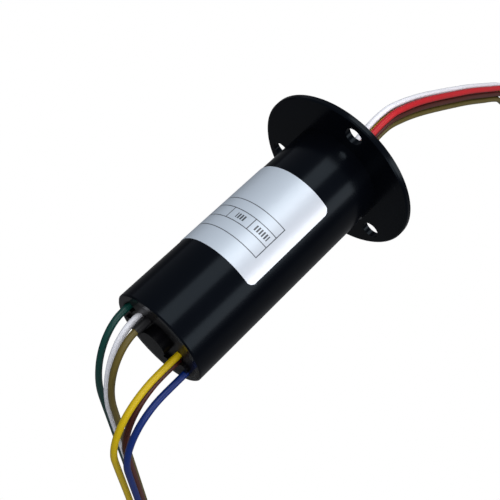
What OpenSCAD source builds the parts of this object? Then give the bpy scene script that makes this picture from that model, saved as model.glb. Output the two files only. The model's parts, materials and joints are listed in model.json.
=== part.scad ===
// Flanged capsule slip ring: a wired rotor turns inside a stator barrel.
// Six gold rings on the rotor are touched by spring brushes on two boards.
// The rotation axis is X. The origin is the centre of the flange's seat face,
// with the barrel and its wire end towards -X and the rotor hub towards +X.

/* [Housing] */
// Outside diameter of the barrel
barrel_dia = 30; // [30:0.5:34]
// Barrel length, from the flange's seat face to the wire end
barrel_length = 72; // [70:1:90]
// Wall around the end parts at the wire end
rim_wall = 2; // [1.6:0.1:2.2]
// Wall around the brush chamber
chamber_wall = 2.6; // [2.4:0.1:2.8]
// Chamfer on the rim and on the flange edges
edge_chamfer = 0.4; // [0.2:0.1:0.6]
// Thickness of the lip that holds the front bearing
front_lip = 2.5; // [2:0.1:3]

/* [Flange] */
// Outside diameter of the flange
flange_dia = 52; // [50:1:64]
// Thickness of the flange
flange_thick = 2; // [1.6:0.1:4]
// Distance from a screw hole's centre in to the flange's rim
bolt_edge = 5; // [4:0.25:6]
// Screw hole diameter, clear for M5
bolt_hole_dia = 5.5; // [4.3:0.1:6]
// Number of screw holes
bolt_count = 3; // [3:1:6]
// Turn of the hole pattern about the axis
bolt_turn = 103; // [0:1:119]

/* [Wire end] */
// Thickness of the end cap's plate
cap_plate = 2.5; // [2.2:0.1:3.5]
// Depth of the round recess in the cap's face
cap_recess = 1; // [0.6:0.1:1.2]
// Diameter of the round recess
cap_recess_dia = 18; // [17:0.5:19]
// Diameter of the closed boss in the middle of the cap
cap_boss_dia = 8; // [6:0.5:8]
// How far the boss stands out of the recess
cap_boss_height = 3; // [2:0.5:5]
// Length of the spacing skirts on the cap and the bearing carrier
skirt_length = 1; // [0.8:0.1:1.6]
// Thickness of the round terminal board
terminal_thick = 1.2; // [0.8:0.1:1.6]

/* [Rotor] */
// Diameter of the core under the rings
core_dia = 14; // [13:0.5:14]
// Bore of the core, which carries the rotor wiring
core_bore_dia = 8.4; // [8:0.1:9]
// How far the hub stands out of the flange
hub_length = 6; // [5:0.5:10]
// Diameter of the hub
hub_dia = 14.8; // [14:0.1:14.8]
// Diameter of the collar between the front bearing and the rings
collar_dia = 18.8; // [18:0.2:19]

/* [Rings and brushes] */
// Number of circuits
circuits = 6; // [6]
// Width of a contact ring
ring_width = 3.6; // [3.2:0.1:4]
// Outside diameter of a contact ring
ring_dia = 17.6; // [17:0.2:17.8]
// Outside diameter of a barrier
barrier_dia = 19.2; // [18.6:0.2:19.4]
// Depth of the V groove that guides a brush wire
groove_depth = 0.3; // [0.2:0.05:0.4]
// Diameter of a brush wire
brush_wire_dia = 0.4; // [0.3:0.05:0.5]
// Free length of a brush wire
brush_wire_length = 8; // [7:0.25:8]
// Distance between the two wires of a brush side
brush_wire_pitch = 1.4; // [1.2:0.1:1.6]
// Width of a brush board
board_width = 9; // [8:0.2:9]
// Thickness of a brush board
board_thick = 1.2; // [1:0.1:1.2]

/* [Bearings] */
// Front bearing bore, outside diameter and width
front_bearing = [15, 24, 5];
// Rear bearing bore, outside diameter and width
rear_bearing = [10, 19, 5];
// Ball diameter of both bearings
ball_dia = 2.3; // [2.2:0.05:2.4]
// Balls in the front bearing
front_balls_count = 14; // [10:1:16]
// Balls in the rear bearing
rear_balls_count = 10; // [8:1:12]

/* [Leads] */
// Outside diameter of a lead
lead_dia = 2; // [1.4:0.1:2]
// Outside diameter of the insulating sleeve at the root of the gold lead
sleeve_dia = 2.7; // [2.5:0.1:2.9]
// Length of that sleeve
sleeve_length = 4.5; // [3:0.5:5]

/* [Label] */
// Distance from the flange's seat face to the label
label_start = 17.2; // [10:0.5:20]
// Length of the label along the barrel
label_length = 31.7; // [20:1:40]
// Thickness of the label
label_thick = 0.12; // [0.05:0.01:0.2]
// Corner radius of the label
label_corner = 2.5; // [1:0.5:4]

/* [Hidden] */
$fn = 96;
// gap of a slip fit between two parts of one body
fit_gap = 0.02;
// running gap between a ball and its track
ball_gap = 0.04;
// gap between a brush wire and the ring that it rides on
brush_gap = 0.03;
// room around a lead in its hole
hole_room = 0.15;
// overrun of a cut beyond the surface it goes through
cut = 0.5;
// a corner's centre lies this share of its radius in from both edges
corner_share = 0.94;
// label edges, degrees from +Y towards +Z
label_from = -20;
label_to = 139;

barrel_r = barrel_dia / 2;
rim_bore_r = barrel_r - rim_wall;
chamber_r = barrel_r - chamber_wall;
seat_r = front_bearing[1] / 2;
bolt_circle_dia = flange_dia - 2 * bolt_edge;
wire_end_x = -barrel_length;

// end parts, from the wire end inwards
cap_inner_x = wire_end_x + cap_plate;
terminal_x = cap_inner_x + skirt_length;
terminal_front_x = terminal_x + terminal_thick;
carrier_floor_thick = 1;
washer_thick = 0.4;
carrier_floor_x = terminal_front_x + skirt_length;
washer_x = carrier_floor_x + carrier_floor_thick;
rear_race_x = washer_x + washer_thick;
rear_race_front_x = rear_race_x + rear_bearing[2];
carrier_lip = 0.6;
carrier_front_x = rear_race_front_x + carrier_lip;
skirt_wall = 1;

// front bearing, held between the lip and a retaining ring in a groove
front_race_front_x = -front_lip;
front_race_x = front_race_front_x - front_bearing[2];
retainer_thick = 1;
retainer_depth = 0.6;
retainer_width = 1.8;
retainer_x = front_race_x - retainer_thick;
seat_end_x = retainer_x - retainer_thick;
lip_opening_r = 9.6;

// rotor stack, from the collar towards the wire end
journal_r = front_bearing[0] / 2 - fit_gap;
rear_journal_r = rear_bearing[0] / 2 - fit_gap;
rear_shoulder_r = 6.2;
core_r = core_dia / 2;
core_bore_r = core_bore_dia / 2;
hub_r = hub_dia / 2;
hub_end_x = flange_thick + hub_length;
clip_thick = 0.8;
clip_depth = 0.7;
clip_width = 1.8;
clip_gap = 0.1;
collar_length = 4.5;
stack_x = front_race_x - collar_length;
lock_nut_length = 2.4;
lock_nut_r = 8.6;
// gap between the lock nut and the bearing carrier
stack_room = 2.3;
stack_end_x = carrier_front_x + stack_room + lock_nut_length;
stack_length = stack_x - stack_end_x;
// the insulating barriers share the length that the rings leave
barrier_width = (stack_length - circuits * ring_width) / (circuits + 1);
stack_pitch = ring_width + barrier_width;
core_floor = 2;
potting_length = 3;
potting_depth = 4.5;
potting_x = hub_end_x - potting_depth;
lead_start_x = potting_x + potting_length;

// brush boards and wires
groove_wall = groove_depth;
ring_r = ring_dia / 2;
barrier_r = barrier_dia / 2;
wire_r = brush_wire_dia / 2;
wire_seat_r = ring_r - groove_depth + wire_r * sqrt(2) + brush_gap;
board_gap = 0.6;
board_in = barrier_r + board_gap;
board_out = board_in + board_thick;
board_front_x = seat_end_x;
pad_thick = 0.3;
pad_length = 2.4;
pad_half = 4.2;
foot_y = 3.6;
foot_z = board_in - pad_thick / 2;
foot_reach = sqrt(foot_y * foot_y + foot_z * foot_z);
// direction of the wire that leaves its foot and just touches the ring
wire_lean = acos(wire_seat_r / foot_reach) + atan2(foot_y, foot_z);

// stator leads: hole in the cap [y, z], straight run, reach and drop of the
// bend, and the level of the cut end
stator_green = [11, 3.7, 1, 14, 32, -222];
stator_white = [7.2, 3.2, 1, 15, 36, -220];
stator_gold = [4.4, 3.6, 3, 13, 28, -218];
stator_yellow = [-6.3, -1.9, 6, 20, 24, -212];
stator_brown = [-6.2, -4.8, 5, 17, 24, -215];
stator_blue = [-9.55, -6.65, 8, 17, 24, -214];
stator_leads = [stator_green, stator_white, stator_gold, stator_yellow, stator_brown, stator_blue];
bend_steps = 8;
hang_steps = 7;

// rotor leads leave the hub as a bundle of two rows of three: [across, above]
rotor_white = [1.25, 2.4];
rotor_red = [-1.25, 2.4];
rotor_yellow = [1.25, 0];
rotor_brown = [-1.25, 0];
rotor_black = [1.25, -2.4];
rotor_gold = [-1.25, -2.4];
// middle of the bundle, [x beyond the start, z]
bundle_rise = [[0, 0], [3, 0], [7, 1.2], [11, 2.4], [15.5, 2.8], [20, 2], [26, -0.8]];
bundle_fall = [[32.5, -4.4], [41, -9.8], [51.5, -17], [62, -24.4], [72.5, -31.9], [86.5, -42.6]];
bundle_hang = [[102, -55], [116, -71], [128, -86], [138, -102], [146, -119], [152, -137], [156, -155]];
bundle = concat(bundle_rise, bundle_fall, bundle_hang);

// raised lobes beside the wire holes, [y, z]
lobes = [[10.4, -1.8], [-9.4, -3.4]];
lobe_r = 1.5;
lobe_height = 0.8;
// open wire slot beside the green lead, degrees and radii
slot_from = 14;
slot_to = 42;
slot_in = 9.7;

// a round bar on the axis
module bar(from, to, r) {
  translate([from, 0, 0])
    rotate([0, 90, 0])
      cylinder(h = to - from, r = r);
}

// a round tube on the axis
module sleeve(from, to, outer, inner) {
  difference() {
    bar(from, to, outer);
    bar(from - cut, to + cut, inner);
  }
}

// a round bar parallel to the axis, through [y, z]
module side_bar(from, to, place, r) {
  translate([from, place[0], place[1]])
    rotate([0, 90, 0])
      cylinder(h = to - from, r = r, $fn = 48);
}

// a revolved shape whose profile is drawn as [radius, x]
module revolved(profile) {
  rotate([0, 90, 0])
    rotate_extrude()
      polygon(profile);
}

// a sector of a tube, angles counted from +Y towards +Z
module sector(from, to, outer, inner, start, end) {
  rotate([start, 0, 0])
    rotate([0, 90, 0])
      rotate([0, 0, 90])
        rotate_extrude(angle = end - start)
          translate([inner, from])
            square([outer - inner, to - from]);
}

// ---- stator ----

module housing() {
  color([0.02, 0.022, 0.03])
    difference() {
      revolved([
        [0, wire_end_x], [barrel_r - edge_chamfer, wire_end_x], [barrel_r, wire_end_x + edge_chamfer],
        [barrel_r, 0], [flange_dia / 2 - edge_chamfer, 0], [flange_dia / 2, edge_chamfer],
        [flange_dia / 2, flange_thick - edge_chamfer], [flange_dia / 2 - edge_chamfer, flange_thick],
        [0, flange_thick]
      ]);
      bar(wire_end_x - cut, carrier_front_x, rim_bore_r);
      bar(carrier_front_x - cut, seat_end_x, chamber_r);
      bar(seat_end_x - cut, front_race_front_x, seat_r);
      bar(retainer_x, retainer_x + retainer_thick, seat_r + retainer_depth);
      bar(front_race_front_x - cut, flange_thick + cut, lip_opening_r);
      for (i = [0:bolt_count - 1])
        rotate([bolt_turn + i * 360 / bolt_count, 0, 0])
          side_bar(-cut, flange_thick + cut, [bolt_circle_dia / 2, 0], bolt_hole_dia / 2);
    }
}

module end_cap() {
  cap_r = rim_bore_r - fit_gap;
  recess_x = wire_end_x + cap_recess;
  color([0.03, 0.03, 0.035])
    difference() {
      union() {
        sleeve(wire_end_x, cap_inner_x, cap_r, cap_recess_dia / 2);
        bar(recess_x, cap_inner_x, cap_recess_dia / 2 + fit_gap);
        sleeve(cap_inner_x - fit_gap, terminal_x, cap_r, cap_r - skirt_wall);
        bar(recess_x - cap_boss_height, recess_x + fit_gap, cap_boss_dia / 2);
        for (lobe = lobes)
          side_bar(wire_end_x - lobe_height, wire_end_x + fit_gap, lobe, lobe_r);
      }
      for (lead = stator_leads)
        side_bar(wire_end_x - lobe_height - cut, terminal_x + cut, lead, lead_dia / 2 + hole_room);
      sector(wire_end_x - cut, cap_inner_x + cut, cap_r - skirt_wall / 3, slot_in, slot_from, slot_to);
    }
}

module terminal_board() {
  color([0.05, 0.25, 0.12])
    bar(terminal_x, terminal_front_x, rim_bore_r - fit_gap);
}

module bearing_carrier() {
  carrier_r = rim_bore_r - fit_gap;
  slot_z = board_in - fit_gap;
  slot_width = board_width + 2 * fit_gap;
  slot_depth = carrier_r + cut - slot_z;
  color([0.75, 0.72, 0.62])
    difference() {
      bar(terminal_front_x, carrier_front_x, carrier_r);
      bar(terminal_front_x - cut, carrier_floor_x, carrier_r - skirt_wall);
      bar(washer_x, carrier_front_x + cut, rear_bearing[1] / 2);
      for (side = [-1, 1])
        translate([terminal_front_x - cut, -slot_width / 2, side > 0 ? slot_z : -slot_z - slot_depth])
          cube([carrier_front_x - terminal_front_x + 2 * cut, slot_width, slot_depth]);
    }
}

// what a square corner has beyond a round one, at angle a and position x
module label_corner_cut(a, x, turn, along) {
  rotate([a, 0, 0])
    translate([x, 0, 0])
      rotate([-90, 0, 0])
        linear_extrude(height = barrel_r + label_thick + cut)
          difference() {
            translate([along > 0 ? 0 : -2 * label_corner, turn < 0 ? 0 : -2 * label_corner])
              square(2 * label_corner);
            circle(r = label_corner);
          }
}

module rating_label() {
  inset = label_corner * corner_share;
  corner_angle = inset / barrel_r * 180 / PI;
  outer = barrel_r + label_thick;
  near_x = -label_start;
  far_x = near_x - label_length;
  color([0.74, 0.78, 0.82])
    difference() {
      sector(far_x, near_x, outer, barrel_r, label_from, label_to);
      for (turn = [-1, 1])
        for (along = [-1, 1])
          label_corner_cut(
            turn < 0 ? label_from + corner_angle : label_to - corner_angle,
            along < 0 ? far_x + inset : near_x - inset, turn, along);
    }
}

// a board that runs from the terminal board to the front bearing's seat
module brush_board(side) {
  color([0.05, 0.25, 0.12])
    translate([terminal_front_x, -board_width / 2, side > 0 ? board_in : -board_out])
      cube([board_front_x - terminal_front_x, board_width, board_thick]);
}

module brush_board_top() {
  brush_board(1);
}

module brush_board_bottom() {
  brush_board(-1);
}

// middle of ring number n
function ring_x(n) = stack_x - barrier_width - ring_width / 2 - (n - 1) * stack_pitch;

// a contact pad with four spring wires, two for each flank of the ring
module brush(n, side) {
  color([0.85, 0.65, 0.25])
    translate([ring_x(n), 0, 0])
      rotate([side > 0 ? 0 : 180, 0, 0])
        union() {
          translate([-pad_length / 2, -pad_half, board_in - pad_thick])
            cube([pad_length, 2 * pad_half, pad_thick]);
          for (flank = [-1, 1])
            for (x = [-brush_wire_pitch / 2, brush_wire_pitch / 2])
              translate([x, flank * foot_y, foot_z])
                rotate([180 + flank * (90 - wire_lean), 0, 0])
                  cylinder(h = brush_wire_length, r = wire_r, $fn = 24);
        }
}

module brush_top_1() { brush(1, 1); }
module brush_top_2() { brush(2, 1); }
module brush_top_3() { brush(3, 1); }
module brush_top_4() { brush(4, 1); }
module brush_top_5() { brush(5, 1); }
module brush_top_6() { brush(6, 1); }
module brush_bottom_1() { brush(1, -1); }
module brush_bottom_2() { brush(2, -1); }
module brush_bottom_3() { brush(3, -1); }
module brush_bottom_4() { brush(4, -1); }
module brush_bottom_5() { brush(5, -1); }
module brush_bottom_6() { brush(6, -1); }

// ---- bearings ----

function pitch_r(bearing) = (bearing[0] + bearing[1]) / 4;
function race_wall(bearing) = (bearing[1] - bearing[0]) / 2 * 0.28;

// the ball track, a ring a little wider than the balls
module track(x, bearing) {
  translate([x + bearing[2] / 2, 0, 0])
    rotate([0, 90, 0])
      rotate_extrude()
        translate([pitch_r(bearing), 0])
          circle(r = ball_dia / 2 + ball_gap, $fn = 48);
}

module outer_race(x, bearing) {
  color([0.7, 0.7, 0.72])
    difference() {
      sleeve(x, x + bearing[2], bearing[1] / 2 - fit_gap, bearing[1] / 2 - race_wall(bearing));
      track(x, bearing);
    }
}

module inner_race(x, bearing) {
  color([0.7, 0.7, 0.72])
    difference() {
      sleeve(x, x + bearing[2], bearing[0] / 2 + race_wall(bearing), bearing[0] / 2);
      track(x, bearing);
    }
}

// the balls of one bearing, evenly spaced
module ball_ring(x, bearing, count, r) {
  for (i = [0:count - 1])
    rotate([i * 360 / count, 0, 0])
      translate([x + bearing[2] / 2, pitch_r(bearing), 0])
        sphere(r = r, $fn = 32);
}

module cage(x, bearing, count) {
  half = ball_dia * 0.35;
  width = ball_dia + 1;
  middle = x + bearing[2] / 2;
  color([0.55, 0.45, 0.3])
    difference() {
      sleeve(middle - width / 2, middle + width / 2, pitch_r(bearing) + half, pitch_r(bearing) - half);
      ball_ring(x, bearing, count, ball_dia / 2 + ball_gap);
    }
}

module front_outer_race() { outer_race(front_race_x, front_bearing); }
module rear_outer_race() { outer_race(rear_race_x, rear_bearing); }
module front_inner_race() { inner_race(front_race_x, front_bearing); }
module rear_inner_race() { inner_race(rear_race_x, rear_bearing); }
module front_cage() { cage(front_race_x, front_bearing, front_balls_count); }
module rear_cage() { cage(rear_race_x, rear_bearing, rear_balls_count); }

module front_balls() {
  color([0.8, 0.8, 0.82])
    ball_ring(front_race_x, front_bearing, front_balls_count, ball_dia / 2);
}

module rear_balls() {
  color([0.8, 0.8, 0.82])
    ball_ring(rear_race_x, rear_bearing, rear_balls_count, ball_dia / 2);
}

// an open spring ring in the housing's groove
module front_retaining_ring() {
  outer = seat_r + retainer_depth - fit_gap;
  color([0.35, 0.35, 0.37])
    difference() {
      sleeve(retainer_x + fit_gap, retainer_x + retainer_thick - fit_gap, outer, outer - retainer_width);
      translate([retainer_x - cut, -retainer_width, 0])
        cube([retainer_thick + 2 * cut, 2 * retainer_width, outer + cut]);
    }
}

// the spring washer that preloads the rear bearing
module wave_washer() {
  race_inner = rear_bearing[1] / 2 - race_wall(rear_bearing);
  color([0.6, 0.6, 0.62])
    sleeve(washer_x, rear_race_x, rear_bearing[1] / 2 - 2 * fit_gap, race_inner);
}

// ---- rotor ----

module rotor_core() {
  clip_r = hub_r - clip_depth;
  color([0.04, 0.04, 0.045])
    difference() {
      revolved([
        [0, rear_race_x + fit_gap], [rear_journal_r, rear_race_x + fit_gap],
        [rear_journal_r, rear_race_front_x], [rear_shoulder_r, rear_race_front_x],
        [rear_shoulder_r, carrier_front_x], [core_r, carrier_front_x + cut],
        [core_r, stack_x], [collar_dia / 2, stack_x],
        [collar_dia / 2, front_race_x], [journal_r, front_race_x],
        [journal_r, front_race_front_x], [clip_r, front_race_front_x],
        [clip_r, front_race_front_x + clip_thick + clip_gap],
        [hub_r, front_race_front_x + clip_thick + clip_gap],
        [hub_r, hub_end_x - edge_chamfer], [hub_r - edge_chamfer, hub_end_x],
        [0, hub_end_x]
      ]);
      bar(stack_end_x - core_floor, hub_end_x + cut, core_bore_r);
    }
}

module front_circlip() {
  clip_r = hub_r - clip_depth + fit_gap;
  color([0.35, 0.35, 0.37])
    difference() {
      sleeve(front_race_front_x, front_race_front_x + clip_thick, clip_r + clip_width, clip_r);
      translate([front_race_front_x - cut, -clip_width, 0])
        cube([clip_thick + 2 * cut, 2 * clip_width, clip_r + clip_width + cut]);
    }
}

// a gold ring with two V grooves for the brush wires
module contact_ring(n) {
  half = ring_width / 2;
  groove = brush_wire_pitch / 2;
  color([0.9, 0.7, 0.25])
    translate([ring_x(n), 0, 0])
      revolved([
        [core_r + fit_gap, -half], [ring_r, -half],
        [ring_r, -groove - groove_wall], [ring_r - groove_depth, -groove], [ring_r, -groove + groove_wall],
        [ring_r, groove - groove_wall], [ring_r - groove_depth, groove], [ring_r, groove + groove_wall],
        [ring_r, half], [core_r + fit_gap, half]
      ]);
}

module contact_ring_1() { contact_ring(1); }
module contact_ring_2() { contact_ring(2); }
module contact_ring_3() { contact_ring(3); }
module contact_ring_4() { contact_ring(4); }
module contact_ring_5() { contact_ring(5); }
module contact_ring_6() { contact_ring(6); }

// the insulating discs before, between and behind the rings
module ring_barriers() {
  color([0.1, 0.1, 0.1])
    for (i = [0:circuits])
      translate([stack_x - i * stack_pitch, 0, 0])
        sleeve(-barrier_width, 0, barrier_r, core_r + fit_gap);
}

module ring_lock_nut() {
  color([0.7, 0.7, 0.72])
    sleeve(stack_end_x - lock_nut_length, stack_end_x, lock_nut_r, core_r + fit_gap);
}

module rotor_potting() {
  color([0.15, 0.15, 0.16])
    bar(potting_x, lead_start_x, core_bore_r);
}

// ---- leads ----

// a stator lead hangs in a plane beside the axis: straight, bent, then down
function stator_route(lead) = concat(
  [[terminal_x, lead[1]], [wire_end_x, lead[1]]],
  [for (i = [0:bend_steps])
    let(a = i * 90 / bend_steps)
    [wire_end_x - lead[2] - lead[3] * sin(a), lead[1] - lead[4] * (1 - cos(a))]],
  [for (i = [1:hang_steps])
    let(top = lead[1] - lead[4])
    [wire_end_x - lead[2] - lead[3], top + (lead[5] - top) * i / hang_steps]]
);

function rotor_route() = [for (p = bundle) [lead_start_x + p[0], p[1]]];

// unit direction of a route at point i, from its neighbours
function heading(route, i) =
  let(a = route[max(i - 1, 0)], b = route[min(i + 1, len(route) - 1)], d = b - a)
  d / norm(d);

// a ring of points around point i, square to the route
function lead_ring(route, i, across, above, sides) =
  let(d = heading(route, i), n = [-d[1], d[0]])
  [for (k = [0:sides - 1])
    let(a = (k + 0.5) * 360 / sides, up = above + lead_dia / 2 * sin(a))
    [route[i][0] + n[0] * up, across + lead_dia / 2 * cos(a), route[i][1] + n[1] * up]];

// a round lead swept along a route in a plane beside the axis
module lead(route, across, above) {
  sides = 8;
  count = len(route);
  points = [for (i = [0:count - 1]) each lead_ring(route, i, across, above, sides)];
  walls = [for (i = [0:count - 2]) for (k = [0:sides - 1])
    [i * sides + k, i * sides + (k + 1) % sides, (i + 1) * sides + (k + 1) % sides, (i + 1) * sides + k]];
  first = [[for (k = [sides - 1:-1:0]) k]];
  last = [[for (k = [0:sides - 1]) (count - 1) * sides + k]];
  polyhedron(points = points, faces = concat(walls, first, last));
}

module stator_lead(row) {
  lead(stator_route(row), row[0], 0);
}

module rotor_lead(place) {
  lead(rotor_route(), place[0], place[1]);
}

// the insulating sleeve stands on the cap's recess around the gold lead
module lead_sleeve() {
  root_x = wire_end_x + cap_recess;
  color([0.05, 0.05, 0.05])
    difference() {
      side_bar(root_x - sleeve_length, root_x, stator_gold, sleeve_dia / 2);
      side_bar(root_x - sleeve_length - cut, root_x + cut, stator_gold, lead_dia / 2 + hole_room / 2);
    }
}

module stator_lead_green() { color([0, 0.2, 0.17]) stator_lead(stator_green); }
module stator_lead_white() { color([0.9, 0.9, 0.92]) stator_lead(stator_white); }
module stator_lead_gold() { color([0.35, 0.3, 0.1]) stator_lead(stator_gold); }
module stator_lead_yellow() { color([0.85, 0.75, 0.05]) stator_lead(stator_yellow); }
module stator_lead_brown() { color([0.3, 0.08, 0.04]) stator_lead(stator_brown); }
module stator_lead_blue() { color([0.02, 0.12, 0.4]) stator_lead(stator_blue); }
module rotor_lead_white() { color([0.9, 0.9, 0.92]) rotor_lead(rotor_white); }
module rotor_lead_red() { color([0.7, 0.05, 0.06]) rotor_lead(rotor_red); }
module rotor_lead_yellow() { color([0.5, 0.5, 0.1]) rotor_lead(rotor_yellow); }
module rotor_lead_brown() { color([0.25, 0.1, 0.08]) rotor_lead(rotor_brown); }
module rotor_lead_black() { color([0.02, 0.02, 0.02]) rotor_lead(rotor_black); }
module rotor_lead_gold() { color([0.45, 0.38, 0.12]) rotor_lead(rotor_gold); }

housing();
end_cap();
terminal_board();
bearing_carrier();
rating_label();
brush_board_top();
brush_board_bottom();
brush_top_1();
brush_top_2();
brush_top_3();
brush_top_4();
brush_top_5();
brush_top_6();
brush_bottom_1();
brush_bottom_2();
brush_bottom_3();
brush_bottom_4();
brush_bottom_5();
brush_bottom_6();
front_outer_race();
front_retaining_ring();
rear_outer_race();
wave_washer();
front_cage();
front_balls();
rear_cage();
rear_balls();
rotor_core();
front_inner_race();
front_circlip();
rear_inner_race();
ring_lock_nut();
contact_ring_1();
contact_ring_2();
contact_ring_3();
contact_ring_4();
contact_ring_5();
contact_ring_6();
ring_barriers();
rotor_potting();
lead_sleeve();
stator_lead_green();
stator_lead_white();
stator_lead_gold();
stator_lead_yellow();
stator_lead_brown();
stator_lead_blue();
rotor_lead_white();
rotor_lead_red();
rotor_lead_yellow();
rotor_lead_brown();
rotor_lead_black();
rotor_lead_gold();
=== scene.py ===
import bpy
import json
import math
from mathutils import Matrix, Vector


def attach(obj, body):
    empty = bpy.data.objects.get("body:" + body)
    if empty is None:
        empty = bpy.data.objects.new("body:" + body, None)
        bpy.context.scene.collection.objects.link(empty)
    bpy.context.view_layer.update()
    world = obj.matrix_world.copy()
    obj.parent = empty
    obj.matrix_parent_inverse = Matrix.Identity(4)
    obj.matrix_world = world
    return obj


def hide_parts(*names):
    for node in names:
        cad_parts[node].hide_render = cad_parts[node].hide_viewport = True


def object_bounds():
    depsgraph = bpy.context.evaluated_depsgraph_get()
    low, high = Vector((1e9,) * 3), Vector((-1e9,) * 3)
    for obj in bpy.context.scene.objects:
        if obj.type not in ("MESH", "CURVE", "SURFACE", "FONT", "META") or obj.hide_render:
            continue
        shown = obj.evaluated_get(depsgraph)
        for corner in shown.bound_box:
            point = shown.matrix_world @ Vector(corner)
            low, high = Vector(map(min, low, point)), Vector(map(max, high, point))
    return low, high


# A slip ring with a flange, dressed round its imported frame. X is the axis of rotation, with the wire end at
# -X and the hub at +X. Angles about the axis are in degrees, from +Y towards +Z.

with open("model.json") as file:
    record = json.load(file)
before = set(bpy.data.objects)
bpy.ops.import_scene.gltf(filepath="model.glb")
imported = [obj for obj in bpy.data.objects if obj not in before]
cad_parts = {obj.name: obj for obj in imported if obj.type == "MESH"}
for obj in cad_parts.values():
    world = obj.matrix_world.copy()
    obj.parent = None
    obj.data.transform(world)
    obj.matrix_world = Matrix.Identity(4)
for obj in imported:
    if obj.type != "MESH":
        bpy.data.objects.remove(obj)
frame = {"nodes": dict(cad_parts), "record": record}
cad_low, cad_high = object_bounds()
nodes = frame["nodes"]
record = frame["record"]
MM = 0.001

# ---------------------------------------------------------------- camera
CAMERA_AZIMUTH = math.radians(-48.0847)
CAMERA_ELEVATION = math.radians(57.8942)
CAMERA_PLACE = (-0.13378, -0.08735, 0.20974)
LENS_MM = 64.8
SENSOR_MM = 36
CLIP_NEAR, CLIP_FAR = 0.01, 20


def add_camera():
    """A camera above and beside the wire end, as in the photograph."""
    data = bpy.data.cameras.new("camera")
    camera = bpy.data.objects.new("camera", data)
    bpy.context.scene.collection.objects.link(camera)
    camera.location = CAMERA_PLACE
    camera.rotation_euler = (math.pi / 2 - CAMERA_ELEVATION, 0, CAMERA_AZIMUTH)
    data.sensor_width = SENSOR_MM
    data.lens = LENS_MM
    data.clip_start = CLIP_NEAR
    data.clip_end = CLIP_FAR
    bpy.context.scene.camera = camera


add_camera()


# ---------------------------------------------------------------- materials
class Tree:
    """A material's node tree, with short calls for the nodes used here."""

    def __init__(self, name, **settings):
        self.mat = bpy.data.materials.new(name)
        self.mat.use_nodes = True
        self.nodes = self.mat.node_tree.nodes
        self.links = self.mat.node_tree.links
        self.nodes.clear()
        self.out = self.nodes.new("ShaderNodeOutputMaterial")
        self.bsdf = self.nodes.new("ShaderNodeBsdfPrincipled")
        self.links.new(self.bsdf.outputs[0], self.out.inputs[0])
        for key, value in settings.items():
            self.bsdf.inputs[key.replace("_", " ")].default_value = value

    def put(self, value, socket):
        """Sets a socket to a number or a colour, or links another node's output to it."""
        if isinstance(value, (int, float, tuple)):
            socket.default_value = value
        else:
            self.links.new(value, socket)

    def surface(self, key, value):
        self.put(value, self.bsdf.inputs[key])

    def math(self, kind, a, b=0.0):
        node = self.nodes.new("ShaderNodeMath")
        node.operation = kind
        self.put(a, node.inputs[0])
        self.put(b, node.inputs[1])
        return node.outputs[0]

    def between(self, value, low, high):
        """1 where the value lies between two limits, and 0 elsewhere."""
        return self.both(self.math("GREATER_THAN", value, low), self.math("LESS_THAN", value, high))

    def both(self, a, b):
        return self.math("MULTIPLY", a, b)

    def either(self, a, b):
        return self.math("MAXIMUM", a, b)

    def mix(self, share, a, b):
        """A blend of two colours, whose sockets are the node's inputs 6 and 7."""
        node = self.nodes.new("ShaderNodeMix")
        node.data_type = "RGBA"
        self.put(share, node.inputs[0])
        self.put(a, node.inputs[6])
        self.put(b, node.inputs[7])
        return node.outputs[2]

    def place(self):
        """The point's own coordinates on the piece, in metres."""
        return self.nodes.new("ShaderNodeTexCoord").outputs["Object"]

    def noise(self, scale, detail=3.0):
        node = self.nodes.new("ShaderNodeTexNoise")
        node.inputs["Scale"].default_value = scale
        node.inputs["Detail"].default_value = detail
        self.links.new(self.place(), node.inputs["Vector"])
        return node.outputs["Fac"]

    def span(self, value, low, high, to_low, to_high):
        """Stretches the range from low to high to the range from to_low to to_high."""
        node = self.nodes.new("ShaderNodeMapRange")
        self.put(value, node.inputs[0])
        for k, limit in enumerate((low, high, to_low, to_high)):
            node.inputs[k + 1].default_value = limit
        return node.outputs[0]

    def bump(self, height, strength, distance):
        node = self.nodes.new("ShaderNodeBump")
        node.inputs["Strength"].default_value = strength
        node.inputs["Distance"].default_value = distance
        self.links.new(height, node.inputs["Height"])
        self.links.new(node.outputs[0], self.bsdf.inputs["Normal"])


def rgba(color, share):
    """A colour made darker or lighter by a share, with its alpha."""
    return (color[0] * share, color[1] * share, color[2] * share, 1.0)


BROAD_SCALE, BROAD_DETAIL = 60.0, 2.0
BROAD_LOW, BROAD_HIGH = 0.3, 0.7
ROUGH_SPREAD = 0.1
GRAIN_SCALE = 900.0
GRAIN_DEPTH = 0.00005


def plain(name, color, rough, metallic=0.0, spread=0.12, bump=0.05, **more):
    """A finish whose colour and roughness vary a little over the piece."""
    t = Tree(name, Metallic=metallic, **more)
    broad = t.noise(BROAD_SCALE, BROAD_DETAIL)
    t.surface("Base Color", t.mix(broad, rgba(color, 1 - spread), rgba(color, 1 + spread)))
    smoothest, roughest = rough * (1 - ROUGH_SPREAD), rough * (1 + ROUGH_SPREAD)
    t.surface("Roughness", t.span(broad, BROAD_LOW, BROAD_HIGH, smoothest, roughest))
    if bump:
        t.bump(t.noise(GRAIN_SCALE), bump, GRAIN_DEPTH)
    return t.mat


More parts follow.
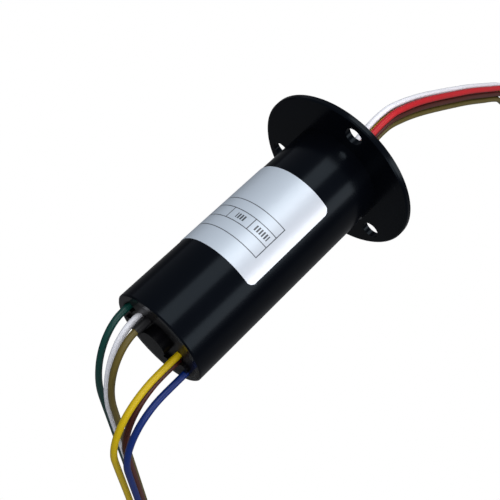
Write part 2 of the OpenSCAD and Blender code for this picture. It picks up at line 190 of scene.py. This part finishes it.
METAL = 1.0
looks = {
    "black_moulding": plain("black_moulding_look", (0.0012, 0.0016, 0.0028), 0.2, spread=0.1, bump=0.02,
                            Specular_IOR_Level=0.1, Specular_Tint=(0.7, 0.86, 1.0, 1)),
    "black_cap": plain("black_cap_look", (0.0016, 0.0016, 0.0022), 0.32, spread=0.2,
                       Specular_IOR_Level=0.06),
    "green_board": plain("green_board_look", (0.012, 0.09, 0.035), 0.35),
    "cream_moulding": plain("cream_moulding_look", (0.6, 0.55, 0.43), 0.5),
    "gold_alloy": plain("gold_alloy_look", (0.8, 0.55, 0.2), 0.22, METAL),
    "gold_plating": plain("gold_plating_look", (0.9, 0.63, 0.2), 0.18, METAL),
    "bearing_steel": plain("bearing_steel_look", (0.62, 0.63, 0.66), 0.15, METAL),
    "spring_steel": plain("spring_steel_look", (0.18, 0.18, 0.2), 0.32, METAL),
    "cage_brass": plain("cage_brass_look", (0.6, 0.42, 0.18), 0.35, METAL),
    "rotor_moulding": plain("rotor_moulding_look", (0.014, 0.014, 0.017), 0.4),
    "nut_aluminium": plain("nut_aluminium_look", (0.72, 0.73, 0.75), 0.3, METAL),
    "potting_resin": plain("potting_resin_look", (0.02, 0.02, 0.023), 0.25),
    "sleeve_rubber": plain("sleeve_look", (0.006, 0.006, 0.007), 0.45, Specular_IOR_Level=0.3),
}

# The label's ruled table: rows in millimetres from the flange's seat face, columns in degrees
TABLE_ROWS = (31.3, 34.7, 38.7, 42.7)
TABLE_LEFT, TABLE_RIGHT = -6.0, 120.2
COLUMN_EDGES = (92.7, 64.3, 36.0, 12.0)
LINE_HALF_MM = 0.13
LINE_HALF_TURN = 0.5
# Upright bars stand where the photograph's label has words.
WORD_PLACES = ((97.5, 115.5), (73.0, 84.0))
WORD_INSET_MM = 1.1
BARS_PER_DEGREE = 0.31
BAR_GAP_SHARE = 0.42
INK = (0.05, 0.055, 0.065, 1)
# The film's own colour is a bluish grey. Towards its lower edge the base colour brightens to a painted sheen,
# and the metallic share rises with it.
PAINTED_SHEEN_FROM, PAINTED_SHEEN_TO = 100.0, 132.0
# the second colour is a painted sheen, brighter than the film's own colour
FILM_TONE, FILM_PAINTED_SHEEN = (0.45, 0.505, 0.565, 1), (0.55, 0.57, 0.615, 1)
FILM_METALLIC_LOW, FILM_METALLIC_HIGH = 0.1, 0.35
FILM_ROUGH, FILM_ROUGH_SPREAD = 0.3, 0.1
FILM_GRAIN_SCALE, FILM_GRAIN, FILM_GRAIN_DEPTH = 1400.0, 0.03, 0.00004


def ruled_table(t, along, angle):
    """1 on the table's lines and bars, and 0 on the bare film."""

    def round_line(row):
        near_row = t.between(along, row - LINE_HALF_MM, row + LINE_HALF_MM)
        return t.both(near_row, t.between(angle, TABLE_LEFT, TABLE_RIGHT + LINE_HALF_TURN))

    def long_line(rows, edge):
        return t.both(rows, t.between(angle, edge - LINE_HALF_TURN, edge + LINE_HALF_TURN))

    marks = [round_line(row) for row in TABLE_ROWS]
    all_rows = t.between(along, TABLE_ROWS[0] - LINE_HALF_MM, TABLE_ROWS[-1] + LINE_HALF_MM)
    marks += [long_line(all_rows, edge) for edge in (TABLE_RIGHT, TABLE_LEFT)]
    cell_low, cell_high = TABLE_ROWS[1], TABLE_ROWS[2]
    cells = t.between(along, cell_low, cell_high)
    marks += [long_line(cells, edge) for edge in COLUMN_EDGES]
    cycle = t.math("FRACT", t.math("MULTIPLY", angle, BARS_PER_DEGREE))
    bars = t.math("GREATER_THAN", cycle, BAR_GAP_SHARE)
    for start, end in WORD_PLACES:
        inner = t.between(along, cell_low + WORD_INSET_MM, cell_high - WORD_INSET_MM)
        marks.append(t.both(t.both(inner, t.between(angle, start, end)), bars))
    ink = marks[0]
    for mark in marks[1:]:
        ink = t.either(ink, mark)
    return ink


def label_look():
    """Silver film with a ruled table: lines round the barrel, a border, dividers and rows of small bars."""
    t = Tree("silver_label_look")
    split = t.nodes.new("ShaderNodeSeparateXYZ")
    t.links.new(t.place(), split.inputs[0])
    x, y, z = split.outputs
    # millimetres from the seat face towards the wire end, and degrees about the axis
    along = t.math("MULTIPLY", x, -1 / MM)
    angle = t.math("MULTIPLY", t.math("ARCTAN2", z, y), 180 / math.pi)
    ink = ruled_table(t, along, angle)
    # painted sheen: the base colour brightens with the angle about the axis, towards the lower edge
    painted_sheen = t.span(angle, PAINTED_SHEEN_FROM, PAINTED_SHEEN_TO, 0.0, 1.0)
    grain = t.noise(FILM_GRAIN_SCALE)
    t.surface("Base Color", t.mix(ink, t.mix(painted_sheen, FILM_TONE, FILM_PAINTED_SHEEN), INK))
    t.surface("Metallic", t.span(painted_sheen, 0, 1, FILM_METALLIC_LOW, FILM_METALLIC_HIGH))
    t.surface("Roughness", t.math("ADD", t.math("MULTIPLY", grain, FILM_ROUGH_SPREAD), FILM_ROUGH))
    t.bump(grain, FILM_GRAIN, FILM_GRAIN_DEPTH)
    return t.mat


looks["silver_label"] = label_look()


def give_looks():
    """Each CAD node gets the look of the material slot that its record names."""
    slots = {row["node"]: row["material_slot"] for row in record["subparts"]}
    for name, obj in nodes.items():
        look = looks.get(slots.get(name))
        if look and not obj.data.materials:
            obj.data.materials.append(look)
        elif look:
            for k in range(len(obj.data.materials)):
                obj.data.materials[k] = look


give_looks()

# ---------------------------------------------------------------- leads
# The routes repeat the ones of the part's source, in millimetres. The stator's leads start on the terminal
# board, and the rotor's on the potting in the hub.
LEAD_DIA = 2.0
LEAD_R = LEAD_DIA / 2
# The round insulation stays just inside the corners of the eight-sided CAD lead.
ROUND_SHARE = 0.985
TUBE_RESOLUTION = 4
SMOOTH_STEPS = 5
WIRE_END_X = -72.0
TERMINAL_X = -68.5
HUB_START_X = 6.5
BEND_STEPS = 8
HANG_STEPS = 7
# each stator lead: y, z, straight run, reach and drop of its bend, z of its end
stator_rows = {
    "green": (11, 3.7, 1, 14, 32, -222),
    "white": (7.2, 3.2, 1, 15, 36, -220),
    "gold": (4.4, 3.6, 3, 13, 28, -218),
    "yellow": (-6.3, -1.9, 6, 20, 24, -212),
    "brown": (-6.2, -4.8, 5, 17, 24, -215),
    "blue": (-9.55, -6.65, 8, 17, 24, -214),
}
# middle of the rotor's bundle: x beyond its start, z
bundle_rise = [(0, 0), (3, 0), (7, 1.2), (11, 2.4), (15.5, 2.8), (20, 2), (26, -0.8)]
bundle_fall = [(32.5, -4.4), (41, -9.8), (51.5, -17), (62, -24.4), (72.5, -31.9), (86.5, -42.6)]
bundle_hang = [(102, -55), (116, -71), (128, -86), (138, -102), (146, -119), (152, -137), (156, -155)]
# each rotor lead's place in the bundle: across, above
rotor_rows = {
    "white": (1.25, 2.4), "red": (-1.25, 2.4), "yellow": (1.25, 0),
    "brown": (-1.25, 0), "black": (1.25, -2.4), "gold": (-1.25, -2.4),
}


def stator_route(row):
    """Straight out of the cap, round a quarter bend and down."""
    y, z, run, reach, drop, end = row
    points = [(TERMINAL_X, z), (WIRE_END_X, z)]
    for i in range(BEND_STEPS + 1):
        a = math.radians(i * 90 / BEND_STEPS)
        points.append((WIRE_END_X - run - reach * math.sin(a), z - drop * (1 - math.cos(a))))
    top = z - drop
    for i in range(1, HANG_STEPS + 1):
        points.append((WIRE_END_X - run - reach, top + (end - top) * i / HANG_STEPS))
    return [Vector((px, y, pz)) for px, pz in points]


def rotor_route(row):
    """Along the bundle's middle, moved across it and square to its direction."""
    across, above = row
    line = [Vector((HUB_START_X + px, 0, pz)) for px, pz in bundle_rise + bundle_fall + bundle_hang]
    out = []
    for i, point in enumerate(line):
        d = (line[min(i + 1, len(line) - 1)] - line[max(i - 1, 0)]).normalized()
        out.append(point + Vector((-d.z, 0, d.x)) * above + Vector((0, across, 0)))
    return out


def smooth(points):
    """A curve through all the points, in several steps from each point to the next."""
    out = []
    for i in range(len(points) - 1):
        a = points[max(i - 1, 0)]
        b, c = points[i], points[i + 1]
        d = points[min(i + 2, len(points) - 1)]
        m0, m1 = (c - a) * 0.5, (d - b) * 0.5
        # a tangent longer than the stretch would make the curve overshoot
        span = (c - b).length
        m0 = m0.normalized() * min(m0.length, span)
        m1 = m1.normalized() * min(m1.length, span)
        for k in range(SMOOTH_STEPS):
            t = k / SMOOTH_STEPS
            out.append(b * (2 * t**3 - 3 * t**2 + 1) + m0 * (t**3 - 2 * t**2 + t)
                       + c * (-2 * t**3 + 3 * t**2) + m1 * (t**3 - t**2))
    return out + [points[-1]]


insulation = {
    "green": (0.0, 0.034, 0.027), "white": (0.76, 0.76, 0.8), "gold": (0.1, 0.075, 0.014),
    "yellow": (0.47, 0.33, 0.0), "brown": (0.065, 0.013, 0.008), "blue": (0.0002, 0.014, 0.115),
    "red": (0.44, 0.01, 0.015), "black": (0.003, 0.003, 0.003),
}
lead_looks = {
    color: plain(f"insulation_{color}_look", tone, rough=0.4, spread=0.03, bump=0.0, Specular_IOR_Level=0.3)
    for color, tone in insulation.items()
}


def make_lead(side, color, route, body):
    """Round insulation along a route, in place of the CAD lead of the same side and colour."""
    points = [p * MM for p in smooth(route)]
    curve = bpy.data.curves.new(f"{side}_{color}_insulation", "CURVE")
    curve.dimensions = "3D"
    spline = curve.splines.new("POLY")
    spline.points.add(len(points) - 1)
    for q, p in zip(spline.points, points):
        q.co = (p.x, p.y, p.z, 1)
    curve.bevel_depth = LEAD_R * MM * ROUND_SHARE
    curve.bevel_resolution = TUBE_RESOLUTION
    curve.use_fill_caps = True
    obj = bpy.data.objects.new(f"{side}_{color}_insulation", curve)
    bpy.context.scene.collection.objects.link(obj)
    curve.materials.append(lead_looks[color])
    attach(obj, body)
    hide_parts(f"{side}_lead_{color}")


for color, row in stator_rows.items():
    make_lead("stator", color, stator_route(row), "stator")
for color, row in rotor_rows.items():
    make_lead("rotor", color, rotor_route(row), "rotor")

# ---------------------------------------------------------------- floor and light
FLOOR_HALF = 4
FLOOR_DROP = 0.03
FLOOR_TONE = 0.16
SOFT_TINT, SOFT_STRENGTH = (0.82, 0.88, 1.0, 1), 0.36
WHITE = (1, 1, 1, 1)


def seen_or_other(tree, out, seen, other):
    """One shader where the camera looks straight at it, and another for all other light."""
    path = tree.nodes.new("ShaderNodeLightPath")
    mix = tree.nodes.new("ShaderNodeMixShader")
    tree.links.new(path.outputs["Is Camera Ray"], mix.inputs[0])
    tree.links.new(other.outputs[0], mix.inputs[1])
    tree.links.new(seen.outputs[0], mix.inputs[2])
    tree.links.new(mix.outputs[0], out.inputs[0])


def floor_look():
    """White to the camera, and a plain grey for all other light."""
    mat = bpy.data.materials.new("floor_look")
    mat.use_nodes = True
    tree = mat.node_tree
    tree.nodes.clear()
    out = tree.nodes.new("ShaderNodeOutputMaterial")
    seen = tree.nodes.new("ShaderNodeEmission")
    seen.inputs[0].default_value = WHITE
    other = tree.nodes.new("ShaderNodeBsdfDiffuse")
    other.inputs[0].default_value = (FLOOR_TONE, FLOOR_TONE, FLOOR_TONE, 1)
    seen_or_other(tree, out, seen, other)
    return mat


def add_floor():
    z = cad_low[2] - FLOOR_DROP
    corners = [(-FLOOR_HALF, -FLOOR_HALF, z), (FLOOR_HALF, -FLOOR_HALF, z),
               (FLOOR_HALF, FLOOR_HALF, z), (-FLOOR_HALF, FLOOR_HALF, z)]
    mesh = bpy.data.meshes.new("floor")
    mesh.from_pydata(corners, [], [(0, 1, 2, 3)])
    floor = bpy.data.objects.new("floor", mesh)
    bpy.context.scene.collection.objects.link(floor)
    mesh.materials.append(floor_look())


def add_world():
    """White to the camera, and a soft bluish light on the part."""
    world = bpy.data.worlds.new("world")
    bpy.context.scene.world = world
    world.use_nodes = True
    tree = world.node_tree
    tree.nodes.clear()
    out = tree.nodes.new("ShaderNodeOutputWorld")
    seen = tree.nodes.new("ShaderNodeBackground")
    seen.inputs[0].default_value = WHITE
    seen.inputs[1].default_value = 1.0
    other = tree.nodes.new("ShaderNodeBackground")
    other.inputs[0].default_value = SOFT_TINT
    other.inputs[1].default_value = SOFT_STRENGTH
    seen_or_other(tree, out, seen, other)


LIGHT_X = -0.05
LIGHT_DISTANCE = 0.7
LIGHT_LENGTH = 1.6
LIGHT_AIM = Vector((-0.03, 0, 0))


def softbox(name, angle, width, power):
    """A long soft light, its long side as near to the barrel's direction as its aim allows."""
    data = bpy.data.lights.new(name, "AREA")
    data.shape = "RECTANGLE"
    data.size = LIGHT_LENGTH
    data.size_y = width
    data.energy = power
    obj = bpy.data.objects.new(name, data)
    bpy.context.scene.collection.objects.link(obj)
    a = math.radians(angle)
    spot = Vector((LIGHT_X, LIGHT_DISTANCE * math.cos(a), LIGHT_DISTANCE * math.sin(a)))
    # an area light shines along its own -Z, so its Z axis points back from the aim
    back = (spot - LIGHT_AIM).normalized()
    side = (Vector((1, 0, 0)) - back * back.x).normalized()
    up = back.cross(side)
    obj.matrix_world = Matrix((
        (side.x, up.x, back.x, spot.x), (side.y, up.y, back.y, spot.y),
        (side.z, up.z, back.z, spot.z), (0, 0, 0, 1)))


add_floor()
add_world()
softbox("light_over", angle=93, width=0.42, power=6.6)
softbox("light_front", angle=161, width=0.32, power=5.4)

scene = bpy.context.scene
scene.view_settings.view_transform = "Standard"
